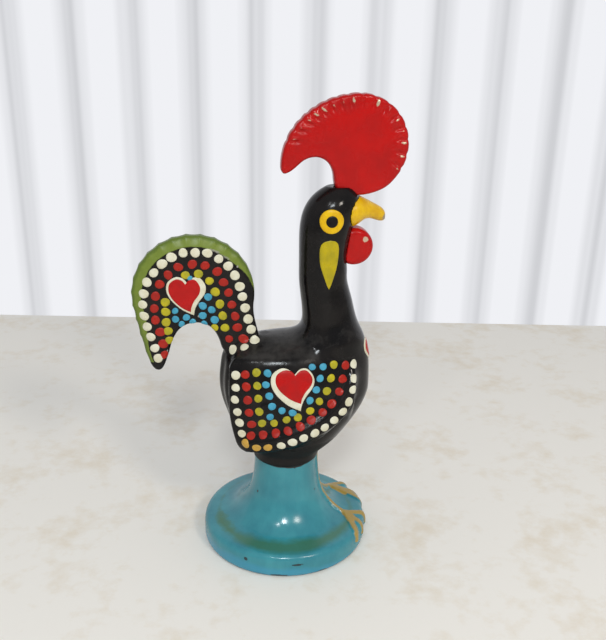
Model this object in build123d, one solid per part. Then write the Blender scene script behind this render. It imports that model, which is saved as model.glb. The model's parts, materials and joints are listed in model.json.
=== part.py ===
"""Hand-painted cast metal rooster figurine on a flared pedestal.

Frame: +X towards the beak, +Y to the bird's left, +Z up. The origin is the centre of the pedestal's
underside. Everything is in millimetres.

The bird is two hollow half castings, closed on the plane y = 0, that grip the tail and the comb between
them. The wings, beak and wattle are castings of their own, pegged on. One screw from below pulls the
bird down on the pedestal.
"""
from build123d import *
import math
import os

# ---- driving dimensions -------------------------------------------------------------------------
pedestal_radius = 23.1
pedestal_height = 26.5
rim_height = 4.6
rim_rounding = 1.7
brim_height = 6.5
throat_radius = 8.6
pedestal_wall = 2.6
cavity_height = 13.0

leg_width = 1.3
toe_width = 1.5
leg_relief = 0.55
foot_radius = 17.8
shank_bend = 0.45

body_length = 41.2
body_rear = -18.1
body_height = 35.6
body_half_width = 12.1
body_floor = 8.5
shell_wall = 2.0

neck_height = 39.6
neck_half_width = 6.5
neck_depth = 12.7
neck_rear = 3.0

tail_radius = 15.6
tail_arch_radius = 6.7
tail_tip_radius = 2.2
tail_thickness = 4.6
tail_edge_rounding = 1.1
tail_centre_back = 6.3
tail_centre_rise = 12.2

comb_radius = 12.1
comb_notch_radius = 5.1
comb_thickness = 3.8
comb_edge_rounding = 0.9
comb_tenon_width = 3.6
comb_tenon_depth = 3.2

beak_length = 6.4
beak_half_width = 4.4
beak_half_height = 3.3
peg_radius = 1.3
peg_depth = 4.0

wattle_radius = 4.9
wattle_thickness = 5.6
wattle_edge_rounding = 1.4
wattle_overlap = 3.4

wing_length = 34.0
wing_height = 26.5
wing_thickness = 8.0
wing_proud = 1.5
wing_crown_radius = 46.0
wing_lean = 4.0
wing_corner_radius = 2.8
wing_edge_rounding = 0.7
wing_peg_radius = 1.3
wing_peg_length = 3.2
wing_peg_spacing = 15.0

screw_radius = 1.5
screw_head_radius = 2.9
screw_head_height = 1.9
screw_thread_past_nut = 1.2
washer_radius = 3.5
washer_thickness = 0.6
nut_across_flats = 5.5
nut_height = 2.4
nut_floor = 3.0

pin_radius = 1.0
dowel_length = 9.0
tail_pin_length = 9.0
comb_pin_length = 7.0
boss_radius = 2.1

fit_gap = 0.05

# ---- levels and anchor points shared by several pieces ------------------------------------------
body_bottom = pedestal_height
back_level = body_bottom + body_height
crown_level = back_level + neck_height
body_front = body_rear + body_length
neck_centre_x = neck_rear + neck_depth / 2

tail_root_low = back_level - 9.0
tail_root_front = body_rear + 0.27 * body_length
tail_centre = (body_rear - tail_centre_back, back_level + tail_centre_rise)
comb_centre = (neck_rear + neck_depth + 2.3, crown_level + comb_radius - 1.3)
beak_root = (neck_rear + 1.18 * neck_depth, crown_level - 6.0)
wattle_root = (neck_rear + neck_depth, crown_level - 15.6)
wing_centre = (0.8, body_bottom + 0.55 * body_height)
nut_level = body_bottom + nut_floor

# Each leg's angle at the throat, angle at the foot and toe angles, from the beak's direction. Both feet
# sweep the same way, so they aren't mirror images.
LEG_ANGLES = [
    (-8.5, -16.5, (-11.0, -25.0, -36.0)),
    (24.0, 33.0, (30.0, 14.0, 6.0)),
]

# Level, rear, front and half width of the body, as shares of body_height, body_length and
# body_half_width. The first section is the round foot that stands on the pedestal's throat.
BODY_SECTIONS = [
    (0.06, 0.205, 0.70, 0.76),
    (0.14, 0.145, 0.785, 0.86),
    (0.25, 0.09, 0.865, 0.94),
    (0.38, 0.045, 0.94, 0.99),
    (0.52, 0.01, 0.99, 1.0),
    (0.65, 0.0, 1.0, 0.99),
    (0.78, 0.01, 0.995, 0.94),
    (0.885, 0.035, 0.98, 0.84),
    (0.955, 0.11, 0.95, 0.64),
    (0.99, 0.20, 0.90, 0.38),
    (1.0, 0.27, 0.85, 0.18),
]
# Level as a share of neck_height above the back, then rear and front as shares of neck_depth from
# neck_rear, and the half width as a share of neck_half_width.
NECK_SECTIONS = [
    (-0.22, -0.05, 1.57, 1.50),
    (-0.03, -0.14, 1.46, 1.46),
    (0.03, 0.03, 1.36, 1.34),
    (0.09, 0.085, 1.26, 1.22),
    (0.18, 0.08, 1.17, 1.12),
    (0.31, 0.03, 1.06, 1.04),
    (0.45, 0.005, 1.0, 1.0),
    (0.60, 0.0, 1.0, 0.99),
    (0.72, 0.005, 1.06, 1.02),
    (0.82, 0.055, 1.13, 0.99),
    (0.90, 0.17, 1.19, 0.88),
    (0.96, 0.34, 1.16, 0.66),
    (1.0, 0.53, 1.06, 0.40),
]


def ellipse_at(level, rear, front, half_width, inset=0.0):
    """One level section, shrunk all round by inset, with its seam on the left flank."""
    depth = (front - rear) / 2
    return Pos((front + rear) / 2, 0, level) * Rot(0, 0, 90) * Ellipse(
        half_width - inset, depth - inset)


def body_block(inset=0.0):
    """The body from its round foot to the back."""
    sections = [Pos(0, 0, body_bottom) * Rot(0, 0, 90) * Circle(throat_radius)] if not inset else []
    for level, rear, front, half in BODY_SECTIONS:
        if inset and not body_floor < level * body_height < 0.97 * body_height:
            continue
        z = body_bottom + level * body_height - (inset if level > 0.9 else 0.0)
        sections.append(
            ellipse_at(z, body_rear + rear * body_length, body_rear + front * body_length,
                       half * body_half_width, inset)
        )
    return loft(sections)


def neck_block(inset=0.0):
    """The neck and head, from inside the body to the crown."""
    sections = []
    for level, rear, front, half in NECK_SECTIONS:
        if inset and level > 0.91:
            continue
        sections.append(
            ellipse_at(back_level + level * neck_height, neck_rear + rear * neck_depth,
                       neck_rear + front * neck_depth, half * neck_half_width, inset)
        )
    return loft(sections)


def plate(face, thickness, rounding=0.0):
    """A plate on the centre plane from an outline drawn in X and Z."""
    solid = extrude(face, thickness / 2, both=True)
    if rounding:
        rims = solid.edges().group_by(Axis.Y)
        solid = fillet([*rims[0], *rims[-1]], rounding)
    return solid


def side_outline(lines):
    """A face in the XZ plane from lines drawn with their Y as the model's Z."""
    return Plane.XZ * make_face(lines)


# ---- pedestal -----------------------------------------------------------------------------------
def pedestal_profile(relief=0.0):
    """Half section of the flared pedestal, thickened outwards by relief."""
    outer = pedestal_radius + relief
    top = brim_height + relief
    rise = pedestal_height - top
    rounding = rim_rounding + relief
    flare = Spline(
        (throat_radius + relief, pedestal_height),
        (throat_radius + relief + 0.03 * (outer - throat_radius), top + 0.62 * rise),
        (throat_radius + relief + 0.16 * (outer - throat_radius), top + 0.29 * rise),
        (throat_radius + relief + 0.44 * (outer - throat_radius), top + 0.075 * rise),
        (outer - rounding, top),
        tangents=[(0, -1), (1, -0.12)],
    )
    shoulder = flare @ 1
    rim_top = rim_height - rounding * 0.4
    edge = Spline(shoulder, (outer, rim_top), tangents=[flare % 1, (0, -1)])
    side = Line((outer, rim_top), (outer, 0.8))
    toe_in = Line((outer, 0.8), (outer - 0.6, 0))
    closing = Polyline((outer - 0.6, 0), (0, 0), (0, pedestal_height), flare @ 0)
    return side_outline([flare, edge, side, toe_in, closing])


def on_plan(radius, angle):
    """Point of the plan at a radius and an angle from the beak's direction."""
    return Vector(radius * math.cos(math.radians(angle)), radius * math.sin(math.radians(angle)))


def stroke(start, end, width):
    """Round-ended bar from one point of the plan to another."""
    run = end - start
    middle = (start + end) / 2
    turn = math.degrees(math.atan2(run.Y, run.X))
    return Pos(middle.X, middle.Y) * Rot(0, 0, turn) * SlotCenterToCenter(run.length, width)


def leg_footprint(root_angle, foot_angle, toe_angles):
    """Plan of one leg: a bent shank from the throat out to the foot, then three toes to the rim."""
    root = on_plan(throat_radius - leg_width, root_angle)
    knee_radius = throat_radius + shank_bend * (foot_radius - throat_radius)
    knee = on_plan(knee_radius, root_angle + shank_bend * (foot_angle - root_angle))
    foot = on_plan(foot_radius, foot_angle)
    plan = stroke(root, knee, leg_width) + stroke(knee, foot, leg_width)
    for angle in toe_angles:
        plan += stroke(foot, on_plan(pedestal_radius, angle), toe_width)
    return plan


def make_pedestal():
    """Hollow flared casting with two legs in relief and a bored throat."""
    solid = revolve(pedestal_profile(), Axis.Z)
    relief = revolve(pedestal_profile(leg_relief), Axis.Z)
    legs_bottom = rim_height - rim_rounding
    keep = Pos(0, 0, legs_bottom) * extrude(
        Circle(pedestal_radius + 5), pedestal_height - 0.8 - legs_bottom)
    for leg in LEG_ANGLES:
        solid += relief & extrude(leg_footprint(*leg), pedestal_height) & keep
    cavity_rim = pedestal_radius - pedestal_wall - 0.8
    cavity_top = throat_radius - pedestal_wall - 0.4
    cavity = side_outline([
        Polyline((0, 0), (cavity_rim, 0), (cavity_rim, rim_height - pedestal_wall)),
        Spline((cavity_rim, rim_height - pedestal_wall),
               (cavity_top + 0.35 * (cavity_rim - cavity_top), brim_height - 1.2),
               (cavity_top, cavity_height), tangents=[(-1, 0.35), (0, 1)]),
        Polyline((cavity_top, cavity_height), (0, cavity_height), (0, 0)),
    ])
    solid -= revolve(cavity, Axis.Z)
    solid -= Cylinder(screw_radius + 2 * fit_gap, 3 * pedestal_height)
    return solid


# ---- screw, washer and nut ----------------------------------------------------------------------
def make_screw_washer():
    return Pos(0, 0, cavity_height - washer_thickness / 2) * (
        Cylinder(washer_radius, washer_thickness)
        - Cylinder(screw_radius + 2 * fit_gap, 2 * washer_thickness)
    )


def make_pedestal_screw():
    head_top = cavity_height - washer_thickness
    shank_top = nut_level + nut_height + screw_thread_past_nut
    shank_length = shank_top - head_top
    head = Pos(0, 0, head_top - screw_head_height / 2) * Cylinder(screw_head_radius, screw_head_height)
    head = fillet(head.edges().filter_by(GeomType.CIRCLE).group_by(Axis.Z)[0], 0.7)
    shank = Pos(0, 0, head_top + shank_length / 2) * Cylinder(screw_radius, shank_length)
    slot = Pos(0, 0, head_top - screw_head_height) * Box(2 * screw_head_radius + 1, 0.8, 1.6)
    return head + shank - slot


def nut_shape(gap=0.0):
    blank = RegularPolygon(nut_across_flats / 2 + gap, 6, major_radius=False)
    return Pos(0, 0, nut_level - gap) * extrude(blank, nut_height + 2 * gap)


def make_captive_nut():
    return nut_shape() - Cylinder(screw_radius + fit_gap, 6 * nut_level)


# ---- tail ---------------------------------------------------------------------------------------
def tail_face():
    """Sickle tail: a big round fan, an arch cut below it, a drooping tip and a root in the rump."""
    cx, cz = tail_centre
    arch_z = cz - tail_radius + 1.0
    arch_left = (cx + 0.2 - tail_arch_radius, arch_z - 0.4)
    arch_right = (cx + 0.2 + tail_arch_radius, arch_z - 0.4)
    tip = (cx - 9.8, cz - 18.9)
    fan_left = (cx - tail_radius, cz - 3.0)
    fan_right = (cx + tail_radius, cz - 2.5)
    root_right = (tail_root_front, back_level - 3.0)
    root_low = (tail_root_front - 1.2, tail_root_low)
    root_left = (body_rear + 0.09 * body_length, tail_root_low)
    fan = ThreePointArc(fan_right, (cx, cz + tail_radius), fan_left)
    outer = Spline(fan_left, (tip[0] - tail_tip_radius, tip[1] + 0.5),
                   tangents=[fan % 1, (0.35, -1)])
    point = Spline(outer @ 1, (tip[0] + 0.3, tip[1] - tail_tip_radius),
                   (tip[0] + tail_tip_radius, tip[1] + 0.4), tangents=[(0.35, -1), (0.35, 1)])
    inner = Spline(point @ 1, arch_left, tangents=[(0.35, 1), (0.25, 1)])
    arch = Spline(arch_left, (cx + 0.2, arch_z + tail_arch_radius), arch_right,
                  tangents=[(0.25, 1), (0.2, -1)])
    root = Polyline(arch_right, root_left, root_low, root_right)
    nape = Spline(root_right, fan_right, tangents=[(-0.1, 1), fan % 0])
    return side_outline([fan, outer, point, inner, arch, root, nape])


def make_tail_plate():
    solid = plate(tail_face(), tail_thickness, tail_edge_rounding)
    return solid - cross_pin(*tail_pin_place, pin_radius + fit_gap, 2 * tail_thickness)


# ---- comb ---------------------------------------------------------------------------------------
def comb_face():
    """Comma-shaped comb: a round front lobe, a hook behind it and a foot let into the crown."""
    cx, cz = comb_centre
    top = (cx - 1.4, cz + comb_radius)
    chin = (cx + 0.80 * comb_radius, cz - 0.66 * comb_radius)
    tip = (cx - comb_radius - 7.0, cz - 7.4)
    notch_centre = (cx - comb_radius + 0.4, cz - 8.4)
    notch_end = (notch_centre[0] + comb_notch_radius, notch_centre[1] - 0.6)
    foot_middle = (cx - 0.08 * comb_radius, crown_level - 2.2)
    foot_left = (cx - 0.50 * comb_radius, crown_level - 0.5)
    lobe = ThreePointArc(chin, (cx + comb_radius, cz + 0.1), top)
    hook_top = Spline(top, (cx - 0.95 * comb_radius, cz + 0.74 * comb_radius),
                      (tip[0] - 0.9, tip[1] + 2.2), tip, tangents=[lobe % 1, (1, -0.3)])
    hook_low = Spline(tip, (notch_centre[0] - 2.4, notch_centre[1] + 4.4),
                      (notch_centre[0], notch_centre[1] + comb_notch_radius),
                      notch_end, tangents=[(1, 0.25), (0.05, -1)])
    neck = Spline(notch_end, foot_left, tangents=[(0.05, -1), (0.35, -1)])
    foot = Spline(neck @ 1, foot_middle, (cx + 0.44 * comb_radius, crown_level - 1.0), chin,
                  tangents=[(0.9, -0.5), lobe % 0])
    return side_outline([lobe, hook_top, hook_low, neck, foot])


def comb_tenon(gap=0.0):
    """Tongue below the comb's foot, or with a gap the slot it sits in."""
    rear = comb_centre[0] - 0.44 * comb_radius - gap
    width = comb_tenon_width + 2 * gap
    bottom = crown_level - 1.2 - comb_tenon_depth - gap
    height = comb_tenon_depth + 1.2
    return Pos(rear + width / 2, 0, bottom + height / 2) * Box(
        width, comb_thickness + 2 * gap, height)


def make_comb_plate():
    solid = plate(comb_face(), comb_thickness, comb_edge_rounding) + comb_tenon()
    return solid - cross_pin(*comb_pin_place, pin_radius + fit_gap, 2 * comb_thickness)


# ---- beak and wattle ----------------------------------------------------------------------------
def face_peg(root, gap=0.0):
    """Peg from just outside the face into the head, or with a gap the hole it sits in."""
    length = peg_depth + 1.2
    return Pos(root[0] + 1.2 - length / 2 - gap, 0, root[1]) * Rot(0, 90, 0) * Cylinder(
        peg_radius + gap, length)


def make_beak(head):
    """Short hooked beak whose root is hollowed to sit on the face, with a peg into the head."""
    x, z = beak_root
    sections = [
        (-4.2, -0.3, 0.98, 0.92),
        (0.7, 0.0, 0.98, 0.92),
        (0.45 * beak_length, 0.1, 0.66, 0.66),
        (0.78 * beak_length, -0.25, 0.52, 0.48),
        (1.0 * beak_length, -0.75, 0.40, 0.34),
        (1.12 * beak_length, -1.2, 0.16, 0.14),
    ]
    faces = [
        Pos(x + out, 0, z + drop) * Rot(0, 90, 0)
        * Ellipse(high * beak_half_height, wide * beak_half_width)
        for out, drop, high, wide in sections
    ]
    return (loft(faces) - head) + face_peg(beak_root)


def make_wattle(head):
    """Thick round-edged lobe let into the throat."""
    x, z = wattle_root
    disc = cross_pin(x - wattle_overlap + wattle_radius, z, wattle_radius, wattle_thickness)
    disc = fillet(disc.edges().filter_by(GeomType.CIRCLE), wattle_edge_rounding)
    return (disc - head) + face_peg(wattle_root)


# ---- wings --------------------------------------------------------------------------------------
def wing_face():
    """Square-tailed wing: straight rear edge, rounded low corner and a sweep up to the shoulder."""
    x, z = wing_centre
    rear, front = x - wing_length / 2, x + wing_length / 2
    low, high = z - wing_height / 2, z + wing_height / 2
    corner = wing_corner_radius
    rear_edge = Line((rear, high), (rear, low + 0.5 * wing_height))
    droop = Spline(rear_edge @ 1, (rear + 1.6, low + corner), tangents=[(0, -1), (0.25, -1)])
    heel = Spline(droop @ 1, (rear + 1.6 + corner, low), tangents=[(0.25, -1), (1, 0)])
    sweep = Spline(heel @ 1, (x + 0.24 * wing_length, low + 0.16 * wing_height),
                   (x + 0.42 * wing_length, low + 0.40 * wing_height),
                   (front, low + 0.74 * wing_height), tangents=[(1, 0), (0.05, 1)])
    shoulder = Spline(sweep @ 1, (front - 1.4, high), tangents=[(0.05, 1), (-0.5, 1)])
    top = Line(shoulder @ 1, rear_edge @ 0)
    face = make_face([rear_edge, droop, heel, sweep, shoulder, top])
    top_corners = face.vertices().group_by(Axis.Y)[-1]
    return Plane.XZ * fillet(top_corners, wing_corner_radius)


def wing_pegs(side, gap=0.0):
    """Two pegs on the back of a wing, or with a gap the holes they sit in."""
    x, z = wing_centre
    root = body_half_width + wing_proud / 2
    length = wing_proud / 2 + wing_peg_length + gap
    return [
        Pos(x + offset, side * (root - length / 2), z) * Rot(90, 0, 0)
        * Cylinder(wing_peg_radius + gap, length)
        for offset in (-wing_peg_spacing / 2, wing_peg_spacing / 2)
    ]


def make_wing(side, bird):
    """Crowned plate, flat at the back where it is not bedded on the body's flank."""
    x, z = wing_centre
    crown = body_half_width + wing_proud
    centre = Pos(x, side * (crown - wing_crown_radius), z - wing_lean)
    blank = Pos(0, side * (crown - wing_thickness), 0) * extrude(wing_face(), side * -2 * crown)
    wing = blank & centre * Sphere(wing_crown_radius)
    rim = [e for e in wing.edges() if on_sphere(e, centre.position, wing_crown_radius)]
    wing = fillet(rim, wing_edge_rounding) - bird
    return max(wing.solids(), key=lambda part: part.volume) + wing_pegs(side)


def on_sphere(edge, centre, radius):
    """True if the whole edge lies on the sphere."""
    return all(abs((edge @ share - centre).length - radius) < 1e-3 for share in (0, 0.37, 0.71, 1))


# ---- pins and bosses ----------------------------------------------------------------------------
tail_pin_place = (body_rear + 0.17 * body_length, back_level - 6.2)
comb_pin_place = (comb_centre[0] - 0.34 * comb_radius, crown_level - 2.6)
dowel_places = [
    (body_rear + 0.36 * body_length, body_bottom + 0.45 * body_height),
    (body_rear + 0.80 * body_length, body_bottom + 0.55 * body_height),
    (neck_centre_x, back_level + 0.38 * neck_height),
]


def cross_pin(x, z, radius, length):
    return Pos(x, 0, z) * Rot(90, 0, 0) * Cylinder(radius, length)


def pin_seats():
    """Every place a pin crosses the centre plane, with the pin's length."""
    seats = [(place, dowel_length) for place in dowel_places]
    return [*seats, (tail_pin_place, tail_pin_length), (comb_pin_place, comb_pin_length)]


# ---- body shells --------------------------------------------------------------------------------
def grip_block(rear, front, low, thickness):
    """Solid metal around a slot that takes a plate of the given thickness."""
    width = front - rear + 2 * shell_wall
    return Pos((front + rear) / 2, 0, low - shell_wall + width) * Box(
        width, thickness + 2 * shell_wall, 2 * width)


def make_shells(bird):
    """Both half castings: walls, bosses for the pins, and seats for what the halves grip."""
    inner_body = body_block(shell_wall)
    inner_neck = neck_block(shell_wall)
    hollow = inner_body + inner_neck
    bosses = [
        cross_pin(*place, boss_radius, 4 * body_half_width) & bird for place, _ in pin_seats()
    ]
    tail_slot = plate(tail_face(), tail_thickness + 2 * fit_gap)
    comb_slot = plate(comb_face(), comb_thickness + 2 * fit_gap) + comb_tenon(fit_gap)
    comb_rear = comb_centre[0] - 0.44 * comb_radius
    slot_walls = (
        grip_block(body_rear, tail_root_front, tail_root_low, tail_thickness) & bird,
        grip_block(comb_rear, comb_rear + comb_tenon_width,
                   crown_level - 1.2 - comb_tenon_depth, comb_thickness) & bird,
    )
    casting = bird - hollow
    for extra in (*bosses, *slot_walls):
        casting += extra
    casting -= [tail_slot, comb_slot]
    for place, length in pin_seats():
        casting -= cross_pin(*place, pin_radius + fit_gap, length + 2 * fit_gap)
    casting -= nut_shape(fit_gap)
    bore_top = nut_level + nut_height + screw_thread_past_nut + 1
    casting -= Pos(0, 0, bore_top / 2) * Cylinder(screw_radius + 2 * fit_gap, bore_top)
    for root in (beak_root, wattle_root):
        casting -= face_peg(root, fit_gap)
    for side in (-1, 1):
        casting -= wing_pegs(side, fit_gap)
    reach = 4 * body_length
    halves = {}
    for name, side in (("right", -1), ("left", 1)):
        half_space = Pos(0, side * reach / 2, back_level) * Box(2 * reach, reach, 2 * reach)
        half = casting & half_space
        halves[name] = max(half.solids(), key=lambda part: part.volume)
    return halves


def build():
    """Every piece of the figurine, by node name."""
    bird = body_block() + neck_block()
    shells = make_shells(bird)
    wing_left = make_wing(1, bird)
    return {
        "pedestal": make_pedestal(),
        "pedestal_screw": make_pedestal_screw(),
        "screw_washer": make_screw_washer(),
        "captive_nut": make_captive_nut(),
        "body_shell_right": shells["right"],
        "body_shell_left": shells["left"],
        "shell_dowels": Compound(children=[
            cross_pin(*place, pin_radius, dowel_length) for place in dowel_places]),
        "tail_plate": make_tail_plate(),
        "tail_pin": cross_pin(*tail_pin_place, pin_radius, tail_pin_length),
        "comb_plate": make_comb_plate(),
        "comb_pin": cross_pin(*comb_pin_place, pin_radius, comb_pin_length),
        "beak": make_beak(bird),
        "wattle": make_wattle(bird),
        "wing_right": mirror(wing_left, about=Plane.XZ),
        "wing_left": wing_left,
    }


os.makedirs("parts", exist_ok=True)
for node, shape in build().items():
    export_step(shape, f"parts/{node}.step")
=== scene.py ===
"""Looks of a hand-painted cast metal rooster standing on a flared pedestal.

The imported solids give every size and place. This script grows soft enamelled skins over the castings,
carves the small relief that the castings carry, lays the dotted ornament on those skins as raised drops
of paint, and dresses each surface. Lengths inside the classes are in millimetres, because the piece is
small; meshes are written in metres.
"""

import json
import logging
import math
import random
from collections.abc import Callable, Sequence
from dataclasses import dataclass, field
from enum import Enum
from typing import ClassVar

import bmesh
import bpy
import numpy as np
from mathutils import Matrix, Vector
from mathutils.bvhtree import BVHTree

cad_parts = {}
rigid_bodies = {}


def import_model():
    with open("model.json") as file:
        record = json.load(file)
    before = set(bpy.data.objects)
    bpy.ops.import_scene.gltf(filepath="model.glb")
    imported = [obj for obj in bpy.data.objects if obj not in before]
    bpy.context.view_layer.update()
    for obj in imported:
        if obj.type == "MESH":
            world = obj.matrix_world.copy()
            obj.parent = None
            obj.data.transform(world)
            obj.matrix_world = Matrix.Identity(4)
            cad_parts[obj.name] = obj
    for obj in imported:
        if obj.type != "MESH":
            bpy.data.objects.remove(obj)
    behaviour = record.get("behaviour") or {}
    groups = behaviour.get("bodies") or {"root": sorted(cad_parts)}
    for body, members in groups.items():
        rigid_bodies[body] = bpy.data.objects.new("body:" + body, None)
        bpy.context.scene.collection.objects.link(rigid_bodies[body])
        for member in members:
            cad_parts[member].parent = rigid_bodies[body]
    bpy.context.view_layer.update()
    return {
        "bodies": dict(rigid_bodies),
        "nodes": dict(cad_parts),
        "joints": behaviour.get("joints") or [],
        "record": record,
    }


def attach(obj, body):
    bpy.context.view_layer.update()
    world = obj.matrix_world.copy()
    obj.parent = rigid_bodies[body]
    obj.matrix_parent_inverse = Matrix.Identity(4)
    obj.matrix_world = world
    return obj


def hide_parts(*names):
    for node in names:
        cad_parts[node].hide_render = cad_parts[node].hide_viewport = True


LOG = logging.getLogger("rooster")
MM = 0.001
NOWHERE = -9.0  # a stored distance, in millimetres, that no paint reaches
Array = np.ndarray
Point = tuple[float, float]
Triple = tuple[float, float, float]
Quad = tuple[float, float, float, float]
Object = bpy.types.Object
Socket = bpy.types.NodeSocket
Sockets = dict[str, Socket]


class Tone(Enum):
    """Paint and metal colours, as display values from 0 to 255."""

    BLACK = (9, 8, 9)
    BLACK_WORN = (26, 23, 22)
    # pale grey for dust and flecks, and for the painted sheen and highlight on the black coat
    DUST = (150, 146, 140)
    CREAM = (222, 220, 200)
    CREAM_AGED = (206, 200, 172)
    OCHRE = (200, 156, 66)
    OCHRE_AGED = (176, 140, 68)
    RED = (182, 12, 10)
    RED_DEEP = (166, 12, 11)
    DOT_RED = (170, 34, 20)
    DOT_RED_AGED = (152, 32, 24)
    OLIVE = (188, 174, 30)
    OLIVE_AGED = (150, 146, 40)
    SKY = (74, 162, 190)
    SKY_AGED = (60, 140, 170)
    RIM_GREEN = (112, 128, 52)
    RIM_GREEN_DEEP = (80, 100, 40)
    YELLOW = (226, 184, 10)
    YELLOW_AGED = (206, 158, 14)
    LEAF = (184, 164, 14)
    LEAF_AGED = (160, 146, 22)
    TURQUOISE = (60, 144, 154)
    TURQUOISE_DEEP = (42, 122, 136)
    TURQUOISE_BLUE = (58, 146, 180)
    SMEAR = (62, 112, 84)
    LEG = (170, 138, 56)
    BARE_METAL = (196, 186, 158)
    PRIMER = (30, 34, 36)
    STEEL = (170, 172, 176)
    STEEL_DULL = (120, 122, 126)
    FLOOR = (244, 240, 232)
    FLOOR_VEIN = (226, 212, 188)
    WALL = (240, 241, 245)

    def linear(self) -> Quad:
        """Scene-linear colour with full alpha."""
        parts = [v / 255 for v in self.value]
        return (*(v / 12.92 if v <= 0.04045 else ((v + 0.055) / 1.055) ** 2.4 for v in parts), 1.0)


class View(Enum):
    """Where a mark is painted from: the outward direction on the plan."""

    RIGHT = (0, -1)
    LEFT = (0, 1)
    FRONT = (1, 0)


# ---- node trees ----
class Graph:
    """Short-hand for filling a node tree."""

    def __init__(self, tree: bpy.types.NodeTree) -> None:
        """Starts on an existing tree."""
        self.tree = tree

    def add(self, kind: str, inputs: dict | None = None, **settings: object) -> bpy.types.Node:
        """Adds a node, sets its options and feeds its inputs.

        Args:
            kind: the shader node's type, without its leading "ShaderNode".
            inputs: socket name or index to a value or to another node's output.
            settings: node properties.

        Returns:
            The new node.
        """
        node = self.tree.nodes.new("ShaderNode" + kind)
        for name, value in settings.items():
            setattr(node, name, value)
        for name, value in (inputs or {}).items():
            self.feed(node.inputs[name], value)
        return node

    def feed(self, socket: Socket, value: object) -> None:
        """Links an output to a socket, or sets its constant.

        Args:
            socket: an input.
            value: another node's output, or a constant.
        """
        if isinstance(value, Socket):
            self.tree.links.new(value, socket)
        else:
            socket.default_value = value

    def math(self, operation: str, a: object, b: object = 0.0, clamp: bool = False) -> Socket:
        """One arithmetic step on two values."""
        return self.add("Math", {0: a, 1: b}, operation=operation, use_clamp=clamp).outputs[0]

    def times(self, a: object, b: object) -> Socket:
        """Product of two values."""
        return self.math("MULTIPLY", a, b)

    def plus(self, a: object, b: object, clamp: bool = False) -> Socket:
        """Sum of two values."""
        return self.math("ADD", a, b, clamp)

    def remap(self, value: object, low: float, high: float, to_low: float = 0.0,
              to_high: float = 1.0) -> Socket:
        """Value moved from one range to another, held inside it."""
        ends = {"From Min": low, "From Max": high, "To Min": to_low, "To Max": to_high}
        return self.add("MapRange", {"Value": value, **ends}).outputs["Result"]

    def blend(self, share: object, a: object, b: object) -> Socket:
        """Mixes two colours.

        Args:
            share: how much of b there is.
            a: the first colour.
            b: the second colour.

        Returns:
            The mixed colour.
        """
        node = self.add("Mix", data_type="RGBA")
        for index, value in ((0, share), (6, a), (7, b)):
            self.feed(node.inputs[index], value)
        return node.outputs[2]

    def noise(self, vector: object, scale: object, detail: float = 3.0, rough: float = 0.5) -> Socket:
        """Smooth noise around 0.5."""
        inputs = {"Vector": vector, "Scale": scale, "Detail": detail, "Roughness": rough}
        return self.add("TexNoise", inputs).outputs["Fac"]

    def place(self) -> Socket:
        """The object's own coordinates, in metres."""
        return self.add("TexCoord").outputs["Object"]


def fill_brushwork(graph: Graph, given: Sockets, out: Sockets) -> None:
    """Uneven thickness of paint laid on with a small brush.

    Args:
        graph: the group's inside.
        given: its Scale and Streak.
        out: its Shade, Dullness and Height.
    """
    where = graph.place()
    long_way = graph.add("VectorMath", {0: where, 1: (1.0, 1.0, 0.35)}, operation="MULTIPLY")
    streaks = graph.noise(long_way.outputs[0], graph.times(given["Scale"], 3.2), 4.0, 0.6)
    pools = graph.noise(where, given["Scale"], 2.0, 0.45)
    peel = graph.noise(where, graph.times(given["Scale"], 6.0), 1.0, 0.4)
    both = graph.plus(graph.times(streaks, given["Streak"]), pools)
    share = graph.math("DIVIDE", both, graph.plus(given["Streak"], 1.0))
    graph.feed(out["Shade"], graph.remap(share, 0.36, 0.66))
    graph.feed(out["Dullness"], graph.remap(pools, 0.35, 0.70))
    lumps = graph.plus(graph.times(pools, 0.7), graph.times(peel, 0.12))
    graph.feed(out["Height"], graph.plus(lumps, graph.times(streaks, 0.1)))


def fill_flecks(graph: Graph, given: Sockets, out: Sockets) -> None:
    """Scattered flecks: a few cells of a fine mosaic, each with a small ragged dot.

    Args:
        graph: the group's inside.
        given: its Scale, Share and Size.
        out: its Mask.
    """
    where = graph.place()
    sway = graph.add("TexNoise", {"Vector": where, "Scale": 1500.0, "Detail": 1.0})
    shift = graph.add("VectorMath", {0: sway.outputs["Color"], "Scale": 0.0006}, operation="SCALE")
    bent = graph.add("VectorMath", {0: where, 1: shift.outputs[0]}, operation="ADD")
    cells = graph.add("TexVoronoi", {"Vector": bent.outputs[0], "Scale": given["Scale"]})
    split = graph.add("SeparateColor", {"Color": cells.outputs["Color"]})
    chosen = graph.math("LESS_THAN", split.outputs[0], given["Share"])
    size = graph.times(split.outputs[1], given["Size"])
    near = graph.math("LESS_THAN", cells.outputs["Distance"], size)
    graph.feed(out["Mask"], graph.times(chosen, near))


def fill_ragged(graph: Graph, given: Sockets, out: Sockets) -> None:
    """Edge of a painted area: inside where the distance is positive, wavering by hand.

    Args:
        graph: the group's inside.
        given: its Distance, Waver, Scale and Softness.
        out: its Mask.
    """
    waver = graph.noise(graph.place(), given["Scale"], 3.0, 0.6)
    shift = graph.times(graph.math("SUBTRACT", waver, 0.5), given["Waver"])
    reach = graph.plus(given["Distance"], shift)
    half = graph.times(given["Softness"], 0.5)
    ratio = graph.math("DIVIDE", graph.plus(reach, half), given["Softness"])
    graph.feed(out["Mask"], graph.math("MAXIMUM", graph.math("MINIMUM", ratio, 1.0), 0.0))


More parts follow.
